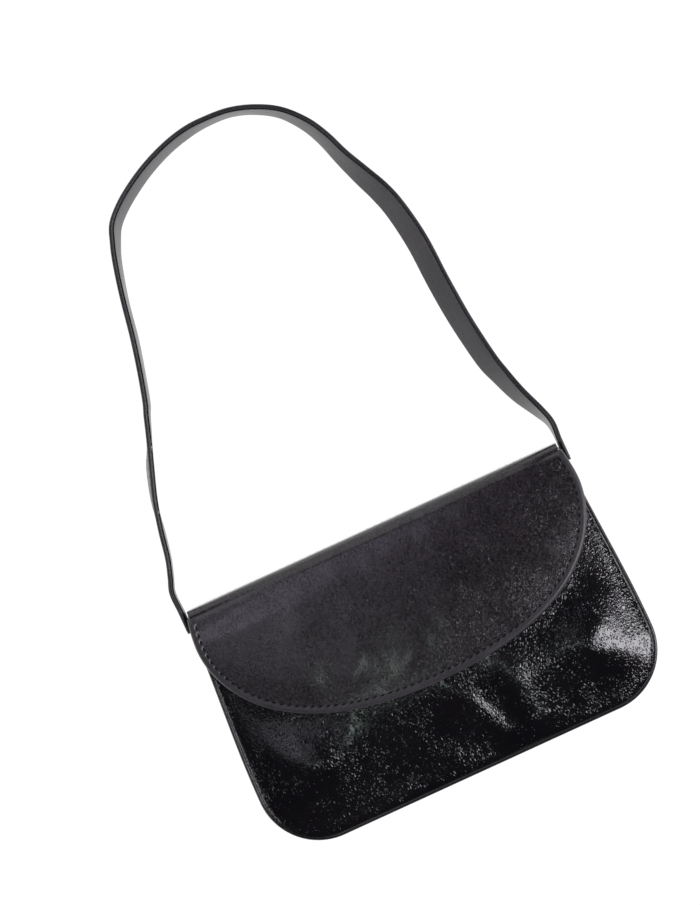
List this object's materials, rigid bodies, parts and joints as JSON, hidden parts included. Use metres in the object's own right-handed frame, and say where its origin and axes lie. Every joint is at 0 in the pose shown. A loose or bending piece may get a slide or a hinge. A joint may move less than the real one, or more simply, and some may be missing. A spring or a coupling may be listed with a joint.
{
  "type": "mini shoulder bag",
  "caption": "Small black leather shoulder bag with a curved front flap, piped seams, a hidden magnetic snap and a flat strap, lying on its back.",
  "frame": {"origin": "middle of the back face, on the surface that the bag lies on", "axes": "+X across the bag to the right of someone who looks at its front, +Y towards the mouth and the strap, +Z out of the front"},
  "size_m": [0.25, 0.4146, 0.0407],
  "materials": {
    "crinkled_leather": "crinkled, very glossy",
    "flap_leather": "fine crinkle, satin gloss",
    "trim_leather": "smooth, satin",
    "lining": "matte woven",
    "stiffener": "matte board",
    "snap_metal": "satin"
  },
  "bodies": {
    "bag": {"back_panel": "crinkled_leather", "back_board": "stiffener", "back_lining": "lining", "slip_pocket": "lining", "gusset": "flap_leather", "gusset_lining": "lining", "base_board": "stiffener", "front_panel": "crinkled_leather", "front_lining": "lining", "front_facing": "trim_leather", "front_piping": "trim_leather", "back_piping": "trim_leather", "snap_socket": "snap_metal", "snap_socket_washer": "snap_metal", "strap_end_right": "flap_leather", "strap_end_left": "flap_leather"},
    "flap_top": {"flap_bridge": "flap_leather", "flap_bridge_lining": "lining"},
    "flap": {"flap_panel": "flap_leather", "flap_board": "stiffener", "flap_lining": "lining", "flap_edge_band": "trim_leather", "snap_stud": "snap_metal", "snap_stud_washer": "snap_metal"},
    "strap": {"strap_outer": "flap_leather", "strap_filler": "stiffener", "strap_lining": "trim_leather"}
  },
  "joints": [
    {"name": "mouth_hinge", "type": "hinge", "parent": "bag", "child": "flap_top", "pos_m": [0, 0.0773, 0.0022], "axis": [-1, 0, 0], "range_deg": [0, 50]},
    {"name": "flap_hinge", "type": "hinge", "parent": "flap_top", "child": "flap", "pos_m": [0, 0.0734, 0.03005], "axis": [-1, 0, 0], "range_deg": [0, 100]},
    {"name": "strap_fold", "type": "hinge", "parent": "bag", "child": "strap", "pos_m": [0, 0.079, 0.026], "axis": [1, 0, 0], "range_deg": [0, 90]}
  ],
  "couplings": [
    {"joint": "flap_hinge", "follows": "mouth_hinge", "ratio": 2}
  ]
}
